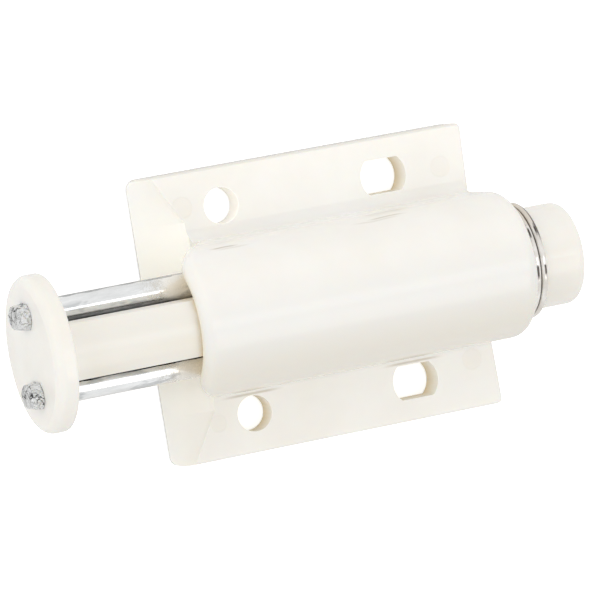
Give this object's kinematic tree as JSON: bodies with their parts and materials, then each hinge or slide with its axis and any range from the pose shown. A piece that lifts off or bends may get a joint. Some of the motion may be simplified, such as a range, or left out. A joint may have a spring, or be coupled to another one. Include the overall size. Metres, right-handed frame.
{
  "type": "push to open catch",
  "caption": "Screw-on push to open catch: a sprung magnetic plunger slides in a flanged barrel and parks or springs out when pushed.",
  "frame": {"origin": "centre of the four screw positions on the flange's mounting face", "axes": "+X along the barrel from the plunger's disc to its tail, +Y across the flange, +Z away from the panel it is screwed to"},
  "size_m": [0.0744, 0.0366, 0.0208],
  "materials": {
    "cream_plastic": "satin moulded nylon or acetal, slightly translucent",
    "plated_steel": "bright zinc-plated drawn rod",
    "spring_wire": "bright drawn spring wire",
    "ferrite": "dark grey pressed ferrite magnet"
  },
  "bodies": {
    "housing_body": {"housing": "cream_plastic", "drive_spring": "spring_wire"},
    "plunger_body": {"plunger_core": "cream_plastic", "upper_pole_rod": "plated_steel", "lower_pole_rod": "plated_steel", "magnet": "ferrite", "stop_ring": "spring_wire"},
    "follower_body": {"latch_follower": "spring_wire"}
  },
  "joints": [
    {"name": "plunger_slide", "type": "slide", "parent": "housing_body", "child": "plunger_body", "axis": [1, 0, 0], "range_m": [0, 0.0145], "stiffness_N_per_m": 100, "springref_m": -0.012, "deforming": ["drive_spring"]},
    {"name": "follower_swing", "type": "hinge", "parent": "housing_body", "child": "follower_body", "pos_m": [-0.015, 0, 0], "axis": [0, 0, 1], "range_deg": [0, 10.6]}
  ],
  "couplings": [
    {"joint": "follower_swing", "follows": "plunger_slide", "rad_per_m": 12.71}
  ]
}
